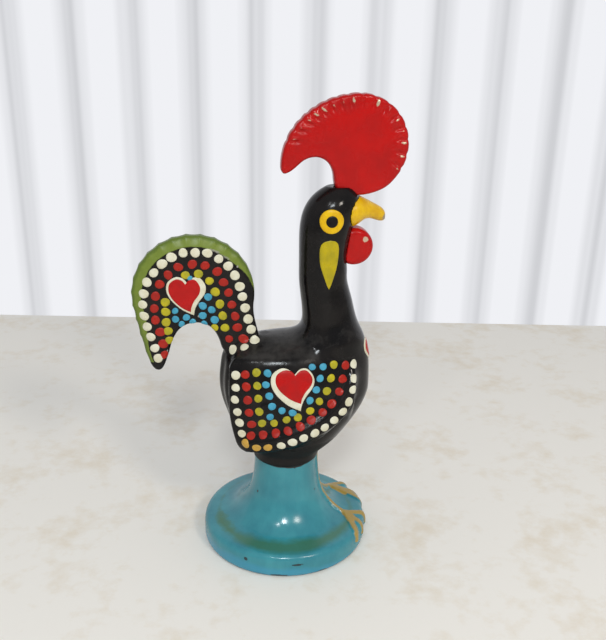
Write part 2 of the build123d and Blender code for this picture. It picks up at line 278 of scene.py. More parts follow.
class Effects:
    """The shader groups that every enamel shares."""

    def __init__(self) -> None:
        """Builds each group once."""
        self.brushwork = self._group("brushed_enamel", {"Scale": 300.0, "Streak": 0.5},
                                     ("Shade", "Dullness", "Height"), fill_brushwork)
        self.flecks = self._group("flecks", {"Scale": 500.0, "Share": 0.05, "Size": 0.3},
                                  ("Mask",), fill_flecks)
        self.ragged = self._group("hand_painted_edge",
                                  {"Distance": 0.0, "Waver": 0.3, "Scale": 700.0, "Softness": 0.1},
                                  ("Mask",), fill_ragged)

    @staticmethod
    def _group(name: str, inputs: dict[str, float], outputs: Sequence[str],
               fill: Callable[[Graph, Sockets, Sockets], None]) -> bpy.types.NodeTree:
        """Makes one shared group.

        Args:
            name: group name.
            inputs: float sockets with their defaults.
            outputs: float outputs.
            fill: builds the inside from the graph, the input sockets and the output sockets.

        Returns:
            The finished group.
        """
        tree = bpy.data.node_groups.new(name, "ShaderNodeTree")
        sides = ("INPUT", inputs), ("OUTPUT", dict.fromkeys(outputs, 0.0))
        for side, sockets in sides:
            for socket, default in sockets.items():
                made = tree.interface.new_socket(socket, in_out=side, socket_type="NodeSocketFloat")
                made.default_value = default
        start, end = (tree.nodes.new(kind) for kind in ("NodeGroupInput", "NodeGroupOutput"))
        fill(Graph(tree), {s: start.outputs[s] for s in inputs}, {s: end.inputs[s] for s in outputs})
        return tree


@dataclass(frozen=True)
class Layer:
    """Paint, dirt, bare metal, painted shade or painted highlight laid over the base coat where a
    stored distance is positive.
    """

    distance: str
    tone: Tone
    waver: float = 0.3
    softness: float = 0.12
    strength: float = 1.0
    scale: float = 700.0
    metallic: float = 0.0
    dulling: float = 0.0

    def mask(self, graph: Graph, effects: Effects) -> Socket:
        """Where the layer covers the base coat.

        Args:
            graph: the material's graph.
            effects: the shared groups.

        Returns:
            A share from 0 to the layer's strength.
        """
        stored = graph.add("Attribute", attribute_name=self.distance)
        edge = graph.add("Group", {"Distance": stored.outputs["Fac"], "Waver": self.waver,
                                   "Softness": self.softness, "Scale": self.scale},
                         node_tree=effects.ragged)
        return graph.times(edge.outputs["Mask"], self.strength)


@dataclass(frozen=True)
class Enamel:
    """A gloss enamel coat with its age on it."""

    name: str
    tone: Tone
    aged: Tone
    roughness: float
    dull: float
    brush_scale: float = 300.0
    streak: float = 0.5
    relief: float = 0.00005
    fleck_tone: Tone = Tone.DUST
    fleck_share: float = 0.0
    fleck_scale: float = 600.0
    fleck_size: float = 0.34
    fleck_dulling: float = 0.35
    layers: tuple[Layer, ...] = ()
    metallic: float = 0.0
    specular: float = 0.5

    def material(self, effects: Effects) -> bpy.types.Material:
        """Builds the shader.

        Args:
            effects: the shared groups.

        Returns:
            A material with one Principled shader.
        """
        made = bpy.data.materials.new(self.name)
        made.use_nodes = True
        graph = Graph(made.node_tree)
        brush = graph.add("Group", {"Scale": self.brush_scale, "Streak": self.streak},
                          node_tree=effects.brushwork)
        colour = graph.blend(brush.outputs["Shade"], self.tone.linear(), self.aged.linear())
        metal: Socket | float = self.metallic
        dullest = self.roughness + self.dull
        rough = graph.remap(brush.outputs["Dullness"], 0.0, 1.0, self.roughness, dullest)
        for layer in self.layers:
            mask = layer.mask(graph, effects)
            colour = graph.blend(mask, colour, layer.tone.linear())
            if layer.metallic:
                metal = graph.times(mask, layer.metallic)
            if layer.dulling:
                rough = graph.plus(rough, graph.times(mask, layer.dulling))
        if self.fleck_share:
            sizes = {"Scale": self.fleck_scale, "Share": self.fleck_share, "Size": self.fleck_size}
            flecks = graph.add("Group", sizes, node_tree=effects.flecks).outputs["Mask"]
            colour = graph.blend(flecks, colour, self.fleck_tone.linear())
            rough = graph.plus(rough, graph.times(flecks, self.fleck_dulling))
        height = brush.outputs["Height"]
        bump = graph.add("Bump", {"Height": height, "Strength": 1.0, "Distance": self.relief})
        looks = {"Base Color": colour, "Roughness": rough, "Metallic": metal, "Normal": bump.outputs[0],
                 "IOR": 1.5, "Specular IOR Level": self.specular}
        for name, value in looks.items():
            graph.feed(made.node_tree.nodes["Principled BSDF"].inputs[name], value)
        return made


# ---- meshes ----
def add_object(name: str, data: bpy.types.ID) -> Object:
    """Puts a mesh, lamp or camera in the scene.

    Args:
        name: its name.
        data: what it shows.

    Returns:
        The new object.
    """
    made = bpy.data.objects.new(name, data)
    bpy.context.scene.collection.objects.link(made)
    return made


class Clay:
    """A mesh while it is shaped, with its points in millimetres."""

    def __init__(self, mesh: bpy.types.Mesh) -> None:
        """Reads the mesh.

        Args:
            mesh: what is shaped.
        """
        self.mesh = mesh
        self.points = self._read(mesh.vertices, "co", 3, float) / MM
        self.normals = self._read(mesh.vertices, "normal", 3, float)
        self.edges = self._read(mesh.edges, "vertices", 2, np.int64)

    @staticmethod
    def _read(items: bpy.types.bpy_prop_collection, name: str, width: int, kind: type) -> Array:
        """One row of numbers for each item.

        Args:
            items: vertices or edges.
            name: which of their numbers.
            width: how many there are.
            kind: what kind they are.

        Returns:
            The rows.
        """
        flat = np.empty(len(items) * width, dtype=kind)
        items.foreach_get(name, flat)
        return flat.reshape(-1, width)

    def write(self) -> None:
        """Puts the points back on the mesh."""
        self.mesh.vertices.foreach_set("co", (self.points * MM).astype(np.float32).ravel())
        self.mesh.update()

    def store(self, **layers: Array) -> None:
        """Keeps one number for each vertex under each name, for the shaders to read."""
        for name, values in layers.items():
            made = self.mesh.attributes.new(name, "FLOAT", "POINT")
            made.data.foreach_set("value", values.astype(np.float32))

    def relax(self, shares: Sequence[float | Array]) -> None:
        """Moves every point towards the mean of its neighbours, over and over.

        Args:
            shares: for each round, how much of the way to go, as one number or one for each point.
        """
        count = np.bincount(self.edges.ravel(), minlength=len(self.points))[:, None]
        for share in shares:
            total = np.zeros_like(self.points)
            for axis in range(3):
                for end, other in ((0, 1), (1, 0)):
                    pull = self.points[self.edges[:, other], axis]
                    total[:, axis] += np.bincount(self.edges[:, end], pull, len(self.points))
            self.points += share * (total / count - self.points)

    def keep_outer_island(self) -> None:
        """Drops every closed surface but the largest, such as the walls of the hollow inside."""
        label, old = np.arange(len(self.points)), None
        while old is None or (old != label).any():
            old = label.copy()
            low = old[self.edges].min(axis=1)
            for end in (0, 1):
                np.minimum.at(label, self.edges[:, end], low)
            label = label[label]
        names = np.unique(label)
        keep = names[int(np.argmax([np.prod(np.ptp(self.points[label == n], axis=0)) for n in names]))]
        work = bmesh.new()
        work.from_mesh(self.mesh)
        work.verts.ensure_lookup_table()
        lost = [work.verts[i] for i in np.flatnonzero(label != keep)]
        bmesh.ops.delete(work, geom=lost, context="VERTS")
        work.to_mesh(self.mesh)
        work.free()

    def about(self, centre: Point) -> tuple[Array, Array, Array]:
        """Where the points lie about an axis across the bird.

        Args:
            centre: the axis, as (x, z).

        Returns:
            Angle from the beak's direction in degrees, distance, and how far the normal is outwards.
        """
        across, rise = self.points[:, 0] - centre[0], self.points[:, 2] - centre[1]
        reach = np.hypot(across, rise)
        outward = (self.normals[:, 0] * across + self.normals[:, 2] * rise) / np.maximum(reach, 0.1)
        return np.degrees(np.arctan2(rise, across)), reach, outward


def ramp(value: Array, low: float, high: float) -> Array:
    """Smooth step from 0 at low to 1 at high, whichever of the two is larger."""
    share = np.clip((value - low) / (high - low), 0.0, 1.0)
    return share * share * (3 - 2 * share)


def bell(value: Array, width: float) -> Array:
    """Smooth bump around zero."""
    return np.exp(-((value / width) ** 2))


def span(vectors: Array) -> Array:
    """Length of each row."""
    return np.linalg.norm(vectors, axis=1)


def segment_distance(places: Array, start: Point, end: Point) -> Array:
    """Distance of places in a plane from a straight segment.

    Args:
        places: one row each.
        start: one end of the segment.
        end: the other end.

    Returns:
        One distance for each place.
    """
    a = np.array(start)
    along = np.array(end) - a
    share = np.clip(((places - a) @ along) / (along @ along), 0.0, 1.0)[:, None]
    return span(places - a - share * along)


def nearest_distance(places: Array, line: Array) -> Array:
    """Distance of each place from the nearest point of a line."""
    return np.concatenate([np.sqrt(((part[:, None] - line[None]) ** 2).sum(axis=2).min(axis=1))
                           for part in np.array_split(places, 80)])


@dataclass
class Skin:
    """A coat of enamel grown over one or more castings."""

    name: str  # name of the piece
    nodes: tuple[str, ...]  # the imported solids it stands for
    slot: str  # the record's material slot
    voxel: float  # size of the grid it is grown on, in millimetres
    rounds: int = 3  # how much it is evened out, by turns in and out so that it hardly shrinks
    coat: ClassVar[Enamel]  # the enamel on it

    def build(self, frame: dict, effects: Effects) -> Object:
        """Grows, shapes and paints the skin.

        Args:
            effects: the shared shader groups.

        Returns:
            The new object, riding with the figure and standing for its castings.
        """
        made = self._grow(frame)
        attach(made, "root")
        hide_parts(*self.nodes)
        LOG.info("%s: %d faces over %s", self.name, len(made.data.polygons), ", ".join(self.nodes))
        self.shape(Clay(made.data))
        made.data.materials.append(self.coat.material(effects))
        return made

    def shape(self, clay: Clay) -> None:
        """Carves the skin and stores where each paint lies."""
        raise NotImplementedError

    def _grow(self, frame: dict) -> Object:
        """Wraps the castings in one closed surface.


        Returns:
            The new object.
        """
        work = bmesh.new()
        for node in self.nodes:
            work.from_mesh(frame["nodes"][node].data)
        bmesh.ops.remove_doubles(work, verts=work.verts, dist=1e-7)
        mesh = bpy.data.meshes.new(self.name)
        work.to_mesh(mesh)
        work.free()
        mesh.materials.clear()
        rough = add_object(self.name + "_casting", mesh)
        grid = rough.modifiers.new("skin", "REMESH")
        grid.mode = "VOXEL"
        grid.voxel_size = self.voxel * MM
        grid.use_smooth_shade = True
        bpy.context.view_layer.update()
        grown = rough.evaluated_get(bpy.context.evaluated_depsgraph_get())
        skin = bpy.data.meshes.new_from_object(grown)
        bpy.data.objects.remove(rough)
        bpy.data.meshes.remove(mesh)
        Clay(skin).keep_outer_island()
        clay = Clay(skin)
        clay.relax((0.62, -0.58) * self.rounds)
        clay.write()
        skin.name = self.name
        return add_object(self.name, skin)


# ---- raised paint ----
class Canvas:
    """A finished skin that drops of paint are laid on."""

    def __init__(self, skin: Object) -> None:
        """Indexes the skin's faces.

        Args:
            skin: what the drops lie on.
        """
        work = bmesh.new()
        work.from_mesh(skin.data)
        self.tree = BVHTree.FromBMesh(work)
        work.free()

    def touch(self, origin: Vector, aim: Vector) -> tuple[Vector, Vector]:
        """Where a line meets the skin.

        Args:
            origin: start of the line, in millimetres.
            aim: its direction.

        Returns:
            The point in millimetres and the outward normal.
        """
        hit, normal, _, _ = self.tree.ray_cast(origin * MM, aim)
        if hit is None:
            hit, normal, _, _ = self.tree.find_nearest(origin * MM)
        return hit / MM, normal

    def settle(self, point: Vector, normal: Vector, drape: float, reach: float = 3.0) -> Vector:
        """Moves a point near the skin onto it.

        Args:
            point: where it is, in millimetres.
            normal: the line it moves along.
            drape: how far it may move.
            reach: how far off the skin is looked for.

        Returns:
            The point on the skin, or as near to it as drape allows.
        """
        hit = self.tree.ray_cast((point + normal * reach) * MM, -normal, 2 * reach * MM)[0]
        if hit is None:
            hit = self.tree.find_nearest(point * MM)[0]
        depth = (hit / MM - point).dot(normal)
        return point + normal * max(-drape, min(drape, depth))


@dataclass(frozen=True)
class Thickness:
    """How a mark's paint rises from its edge to its middle."""

    height: float  # how thick the paint is
    rings: tuple[Point, ...]  # size and height shares, from the edge to the middle


DROP = ((1.06, -0.5), (1.0, 0.05), (0.92, 0.5), (0.78, 0.8), (0.55, 0.95), (0.28, 1.0))
FILM = ((1.02, -0.6), (1.0, 0.1), (0.97, 0.7), (0.92, 0.98), (0.75, 1.0), (0.5, 1.0), (0.25, 1.0))
CREAM_HEART = Thickness(0.14, FILM)
RED_HEART = Thickness(0.3, FILM)
THIN_MARK = Thickness(0.16, FILM)
PUPIL = Thickness(0.34, FILM)


@dataclass
class Paintwork:
    """Raised marks of one colour, gathered in one mesh."""

    name: str
    finish: Enamel
    points: list[Vector] = field(default_factory=list)
    faces: list[tuple[int, ...]] = field(default_factory=list)

    def lay(self, canvas: Canvas, origin: Vector, aim: Vector, outline: Sequence[Point],
            paint: Thickness) -> None:
        """Lays one mark on the skin.

        Args:
            canvas: the skin below.
            origin: start of the line that finds the mark's centre.
            aim: direction of that line.
            outline: the mark's edge about its centre, level and upwards.
            paint: how it rises.
        """
        centre, normal = canvas.touch(origin, aim)
        level = Vector((0, 0, 1)).cross(normal).normalized()
        if level.dot(aim.cross(Vector((0, 0, 1)))) < 0:
            level.negate()
        upward = normal.cross(level).normalized()
        if upward.z < 0:
            upward.negate()
        base, count = len(self.points), len(outline)
        drape = 0.35 + 0.2 * max(math.hypot(u, v) for u, v in outline)
        for size, rise in paint.rings:
            for u, v in outline:
                spot = canvas.settle(centre + level * (u * size) + upward * (v * size), normal, drape)
                self.points.append(spot + normal * (rise * paint.height))
        self.points.append(canvas.settle(centre, normal, drape) + normal * paint.height)
        area = sum(a[0] * b[1] - b[0] * a[1] for a, b in zip(outline, [*outline[1:], outline[0]]))
        clockwise = area * level.cross(upward).dot(normal) < 0
        tip = base + count * len(paint.rings)
        for start in range(base, tip, count):
            for i in range(count):
                a, b = start + i, start + (i + 1) % count
                face = (a, b, tip) if start + count == tip else (a, b, b + count, a + count)
                self.faces.append(face[::-1] if clockwise else face)

    def build(self, effects: Effects) -> None:
        """Makes the object once every mark is laid.

        Args:
            effects: the shared shader groups.
        """
        mesh = bpy.data.meshes.new(self.name)
        mesh.from_pydata([p * MM for p in self.points], [], self.faces)
        mesh.polygons.foreach_set("use_smooth", [True] * len(mesh.polygons))
        mesh.materials.append(self.finish.material(effects))
        made = add_object(self.name, mesh)
        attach(made, "root")
        LOG.info("%s: %d faces of raised paint", self.name, len(mesh.polygons))


def dot_outline(radius: float, dice: random.Random, points: int = 20,
                unevenness: float = 1.0) -> list[Point]:
    """A dot from a loaded brush tip: nearly round, never quite.

    Args:
        radius: its usual size.
        dice: the hand's unevenness.
        points: how many points the edge has.
        unevenness: share of the usual unevenness.

    Returns:
        The edge, anticlockwise.
    """
    stretch = 1.0 + unevenness * dice.uniform(-0.05, 0.07)
    turn = dice.uniform(0, math.pi)
    size = radius * (1.0 + unevenness * dice.uniform(-0.06, 0.06))
    wobble = [dice.uniform(0, 2 * math.pi) for _ in range(2)]
    edge = []
    for i in range(points):
        angle = 2 * math.pi * i / points
        waves = 0.03 * math.sin(2 * angle + wobble[0]) + 0.025 * math.sin(3 * angle + wobble[1])
        r = size * (1.0 + unevenness * waves)
        u = r * math.cos(angle) * stretch
        v = r * math.sin(angle) / stretch
        edge.append((u * math.cos(turn) - v * math.sin(turn), u * math.sin(turn) + v * math.cos(turn)))
    return edge


def curve_through(knots: Sequence[Point], steps: int = 12) -> Array:
    """A smooth line through the knots.

    Args:
        knots: points to pass through.
        steps: points from one knot to the next.

    Returns:
        The line's points, one row each.
    """
    p = np.array([knots[0], *knots, knots[-1]], dtype=float)
    line = []
    for a, b, c, d in zip(p, p[1:], p[2:], p[3:]):
        for t in (i / steps for i in range(steps)):
            line.append(0.5 * (2 * b + (c - a) * t + (2 * a - 5 * b + 4 * c - d) * t * t
                               + (3 * b - a - 3 * c + d) * t ** 3))
    return np.array([*line, p[-1]])


HEART_SIDES = (
    ((0.37, -1.0), (-0.02, -0.82), (-0.36, -0.6), (-0.78, -0.18), (-1.0, 0.28), (-0.93, 0.74),
     (-0.52, 1.0), (-0.15, 0.92), (0.07, 0.68)),
    ((0.07, 0.68), (0.36, 0.94), (0.72, 0.92), (1.0, 0.52), (0.95, 0.1), (0.6, -0.36), (0.43, -0.7),
     (0.37, -1.0)),
)
EAR_PROFILE = ((1.0, 0.0), (0.96, 0.5), (0.86, 0.84), (0.66, 1.0), (0.3, 1.0), (0.0, 0.92), (-0.3, 0.7),
               (-0.62, 0.42), (-0.86, 0.2), (-1.0, 0.0))


def heart_outline(width: float, height: float) -> list[Point]:
    """A brushed heart whose point trails to one side, clockwise from its point."""
    edge = np.concatenate([curve_through(side, 5)[:-1] for side in HEART_SIDES])
    return [(float(u) * width / 2, float(v) * height / 2) for u, v in edge]


def leaf_outline(width: float, height: float) -> list[Point]:
    """A long leaf, even about its middle line and pointed below.

    Args:
        width: full width.
        height: full height.

    Returns:
        The edge, clockwise from the top.
    """
    level = np.cos(np.linspace(0.0, math.pi, 22))
    heights, halves = zip(*sorted(EAR_PROFILE))
    half = np.interp(level, heights, halves) * width / 2
    right = [(float(u), float(v) * height / 2) for u, v in zip(half, level)]
    return right + [(-u, v) for u, v in reversed(right[1:-1])]


# ---- castings ----
@dataclass
class BirdBody(Skin):
    """Body, neck and head with the two wings and the tail, under one black coat."""

    tail_centre: Point = (-24.4, 74.3)  # centre of the tail's round edge, as (x, z)
    tail_radius: float = 15.6  # radius of that edge
    rim_width: float = 2.6  # width of the green rim where it is widest
    scallop: float = 3.7  # length of one facet along the tail's rim
    scallop_depth: float = 0.24  # how deep each facet is cut
    scratch_turn: float = 58.0  # where the rim's scratches and its painted highlight are strongest, in degrees round the tail
    groove_depth: float = 0.45  # depth of the feather grooves down the rump
    # where the wing's border starts to turn outwards, as (x, z)
    lip_line: tuple[Point, ...] = ((-14.0, 35.6), (-9.8, 36.2), (-2.9, 37.7), (3.5, 40.1), (9.2, 43.2),
                                   (13.2, 47.0), (15.6, 51.0), (17.5, 57.0))
    lip_width: float = 2.1  # how far the turn reaches into the wing
    lip_height: float = 1.5  # how far the border stands out
    shoulder_rounds: int = 130  # how much the wing's top is melted into the body
    foot_coat: float = 0.34  # extra paint where the body stands on the pedestal
    foot_overlap: float = 0.9  # how far that paint runs down over the pedestal's throat
    coat = Enamel(
        "black_gloss_enamel", Tone.BLACK, Tone.BLACK_WORN, roughness=0.09, dull=0.13,
        brush_scale=170.0, streak=0.25, relief=0.00015, fleck_share=0.018, fleck_scale=700.0,
        fleck_size=0.3, specular=0.2,
        layers=(
            Layer("underside", Tone.BLACK_WORN, waver=2.0, softness=1.5, scale=200.0, dulling=0.34),
            # pale grey on the upward-facing saddle: partly dust, partly a painted sheen
            Layer("saddle_dust", Tone.DUST, waver=2.4, softness=1.1, strength=0.08, scale=500.0),
            Layer("rim_green", Tone.RIM_GREEN, waver=0.55, softness=0.25, scale=420.0, dulling=0.14),
            Layer("rim_shadow", Tone.RIM_GREEN_DEEP, waver=1.1, softness=0.5, strength=0.6,
                  scale=600.0),
            # pale grey along the rim's inner edge near its top: partly scratches, partly a painted
            # highlight
            Layer("rim_scratch", Tone.DUST, waver=2.2, softness=0.25, strength=0.75, scale=420.0),
        ))

    def shape(self, clay: Clay) -> None:
        """Carves the tail's rim, the rump and the wings' borders, and runs the coat onto the pedestal.

        Args:
            clay: the skin.
        """
        x, y, z = clay.points.T
        edge, turn = self._tail_edge(clay)
        narrowing = 1.0 - 0.62 * ramp(z, 70.0, 57.0)
        width = np.where(turn < 250, self.rim_width * ramp(turn, -4.0, 50.0) * narrowing, -1.0)
        self._carve_tail(clay, edge, turn)
        self._carve_rump(clay)
        self._raise_lip(clay)
        radius = np.maximum(np.hypot(x, y), 1.0)
        clay.points[:, :2] *= (1.0 + self.foot_coat * ramp(z, 28.6, 26.9) / radius)[:, None]
        z -= self.foot_overlap * ramp(z, 27.6, 26.6)
        self._blend_shoulder(clay)
        clay.write()
        # scratches near the rim's top, with a painted highlight in the same pale grey
        scratch = 0.5 * bell(turn - self.scratch_turn, 26.0) - 0.3 - np.abs(width - edge - 0.1)
        upright = clay.normals[:, 2]
        # upward-facing saddle faces take dust and a painted sheen
        saddle = (z > 57) & (z < 72) & (upright > 0.3)
        clay.store(
            rim_green=width - edge,
            rim_scratch=np.where(width > 0.6, scratch, NOWHERE),
            rim_shadow=0.7 - edge + np.where(width > 0.5, 0.0, NOWHERE),
            underside=np.where(np.abs(y) < 10.5, 33.0 - z, NOWHERE),
            saddle_dust=np.where(saddle, 1.2 * upright - 0.9, NOWHERE))

    def _tail_edge(self, clay: Clay) -> tuple[Array, Array]:
        """Measures the tail.

        Args:
            clay: the skin.

        Returns:
            Distance of each point from the tail's outer edge, and its angle round the tail.
        """
        x, y, z = clay.points.T
        turn, reach, outward = clay.about(self.tail_centre)
        turn %= 360
        middle = self.tail_centre[0]
        tail = (np.abs(y) < 3.0) & (z > 55.5) & (x < middle + self.tail_radius + 0.6)
        tail &= (x < middle) | (turn < 92)
        side_on = np.abs(clay.normals[:, 1]) < 0.3
        rim = tail & side_on & (outward > 0.45) & (reach > self.tail_radius - 3.0)
        edge = np.full(len(x), 99.0)
        edge[tail] = nearest_distance(clay.points[tail][:, (0, 2)], clay.points[rim][:, (0, 2)])
        return edge, turn

    def _carve_tail(self, clay: Clay, edge: Array, turn: Array) -> None:
        """Cuts the facets along the rim and thins it towards its edge.

        Args:
            clay: the skin.
            edge: distance from the tail's outer edge.
            turn: angle round the tail.
        """
        x, y, z = clay.points.T
        run = np.radians(turn) * self.tail_radius / self.scallop
        facet = (2.0 * (run % 1.0) - 1.0) ** 2
        share = ramp(edge, 3.2, 0.0) * ramp(turn, 2.0, 55.0) * ramp(turn, 245.0, 225.0)
        away = clay.points[:, (0, 2)] - np.array(self.tail_centre)
        away /= np.maximum(span(away), 0.1)[:, None]
        depth = share * (1.0 - facet) * self.scallop_depth
        x -= away[:, 0] * depth
        z -= away[:, 1] * depth
        y *= 1.0 - 0.32 * share - 0.10 * share * (1.0 - facet)

    def _carve_rump(self, clay: Clay) -> None:
        """Cuts upright feather grooves into the rear of the body.

        Args:
            clay: the skin.
        """
        x, y, z = clay.points.T
        turn = np.arctan2(y, -(x + 6.0))
        rear = ramp(x, -13.2, -15.5) * ramp(z, 38.0, 43.0) * ramp(z, 60.0, 54.0)
        depth = rear * self.groove_depth * (0.5 - 0.5 * np.cos(turn * 16))
        clay.points -= clay.normals * depth[:, None]

    def _raise_lip(self, clay: Clay) -> None:
        """Turns the wing's lower and front border outwards.

        Args:
            clay: the skin.
        """
        x, y, z = clay.points.T
        line = curve_through(self.lip_line, 6)
        level = np.interp(x, line[:, 0], line[:, 1])
        slope = np.interp(x, line[:, 0], np.gradient(line[:, 1], line[:, 0]))
        inside = (z - level) / np.hypot(1.0, slope)
        wing = (x > -14.5) & (x < 17.5) & (np.abs(y) > 5.5)
        share = (1.0 - ramp(inside, 0.0, self.lip_width)) * ramp(inside, -4.5, -2.8)
        lift = self.lip_height * (share * ramp(x, -14.5, -11.5)) * wing * ramp(z, 56.5, 51.0)
        y += np.sign(y) * lift * np.abs(clay.normals[:, 1])

    def _blend_shoulder(self, clay: Clay) -> None:
        """Melts the wing's top border into the body and evens out the breast.

        Args:
            clay: the skin.
        """
        x, y, z = clay.points.T
        shoulder = ramp(z, 55.6, 57.8) * (x > -17.5) * ((np.abs(y) > 2.9) | (x > -5.0))
        breast = ramp(z, 45.0, 50.0) * ramp(x, 17.0, 18.6)
        share = (np.maximum(shoulder, breast) * ramp(z, 68.0, 63.5))[:, None] * 0.5
        clay.relax([share] * self.shoulder_rounds)


@dataclass
class Comb(Skin):
    """The round red comb with its hook, and small dents all along its rim."""

    centre: Point = (18.0, 112.5)  # centre of the round edge, as (x, z)
    radius: float = 12.1  # radius of that edge
    # each dent's angle from the beak's direction, in degrees, and how worn it is
    dents: tuple[Point, ...] = (
        (-33, 0.5), (-16, 0.9), (2, 1.0), (18, 0.3), (35, 0.6), (53, 0.3), (71, 1.25), (88, 0.3),
        (104, 1.0), (117, 0.4), (129, 0.5), (140, 1.0), (149, 0.9), (157, 0.6), (166, 0.45), (176, 0.5))
    inset: float = 2.1  # how far the middle of a dent is from the edge
    coat = Enamel(
        "red_comb_enamel", Tone.RED, Tone.RED_DEEP, specular=0.22, roughness=0.2, dull=0.16,
        brush_scale=220.0, streak=0.25, relief=0.00008, fleck_tone=Tone.RED_DEEP, fleck_share=0.02,
        layers=(
            # painted shade: darker red along the comb's rounded edge
            Layer("rim_dark", Tone.RED_DEEP, waver=0.5, softness=0.35, strength=0.7),
            Layer("crest_wear", Tone.BARE_METAL, waver=0.36, strength=0.9, scale=1600.0, metallic=0.35),
        ))

    def shape(self, clay: Clay) -> None:
        """Presses in the dents, each with a raised crest beside it.

        Args:
            clay: the skin.
        """
        turn, reach, outward = clay.about(self.centre)
        turn = (turn + 120) % 360 - 120
        sideways = np.abs(clay.normals[:, 1])
        rim = (sideways < 0.3) & (outward > 0.5) & (reach > self.radius - 1.5)
        edge = nearest_distance(clay.points[:, (0, 2)], clay.points[rim][:, (0, 2)])
        angles, wear = np.array(self.dents, float).T
        nearest = np.abs(turn[:, None] - angles[None]).argmin(axis=1)
        aside = np.radians(turn - angles[nearest]) * np.maximum(reach, self.radius * 0.8)
        flat = sideways > 0.35
        inward = edge - self.inset
        dent = bell(aside - 0.55, 0.5) * bell(inward, 1.2)
        crest = bell(aside + 0.25, 0.42) * bell(inward + 0.4, 1.1)
        nick = 0.2 * bell(aside - 0.5, 0.6) * bell(edge, 0.9)
        lift = np.where(flat, 0.3 * crest - 0.46 * dent, 0.0) - nick
        clay.points += clay.normals * lift[:, None]
        clay.write()
        mark = np.hypot((aside + 0.2) / 0.3, (inward + 0.7) / 0.75)
        worn = (wear[nearest] - mark) * 0.26 - 0.02
        # darker red close to the edge is painted shade on the rounded rim
        clay.store(crest_wear=np.where(flat | (edge < 1.0), worn, NOWHERE), rim_dark=0.42 - edge)


@dataclass
class Beak(Skin):
    """The short yellow beak, its tip full and a little drooping, with one chip."""

    tip_fullness: float = 0.5  # how much deeper the tip is below its middle
    tip_droop: float = 0.5  # how far the tip hangs
    chip_radius: float = 0.8  # size of the chip
    coat = Enamel(
        "yellow_beak_enamel", Tone.YELLOW, Tone.YELLOW_AGED, roughness=0.24, dull=0.16,
        specular=0.35, brush_scale=380.0,
        layers=(
            Layer("tip_chip", Tone.STEEL_DULL, waver=0.8, softness=0.2, strength=0.7, scale=1300.0),
        ))

    def shape(self, clay: Clay) -> None:
        """Fills and lowers the tip and marks its chip.

        Args:
            clay: the skin.
        """
        x, _, z = clay.points.T
        tip = float(x.max())
        share = ramp(x, tip - 6.0, tip - 1.5)
        middle = float(z[x > tip - 1.5].mean())
        z += share * (np.minimum(z - middle, 0.0) * self.tip_fullness - self.tip_droop)
        clay.write()
        chip = np.array((tip - 0.3, -0.8, middle - self.tip_droop - 0.9))
        clay.store(tip_chip=self.chip_radius - span(clay.points - chip))


@dataclass
class Wattle(Skin):
    """The round red wattle under the beak."""

    chip: Triple = (19.8, -2.6, 88.3)  # centre of the pale chip on its upper front
    chip_radius: float = 0.75  # size of the chip
    coat = Enamel(
        "red_wattle_enamel", Tone.RED, Tone.RED_DEEP, specular=0.22, roughness=0.17, dull=0.14,
        layers=(Layer("chip", Tone.BARE_METAL, waver=0.7, strength=0.8, scale=1400.0),))

    def shape(self, clay: Clay) -> None:
        """Marks the chip."""
        clay.store(chip=self.chip_radius - span(clay.points - np.array(self.chip)))


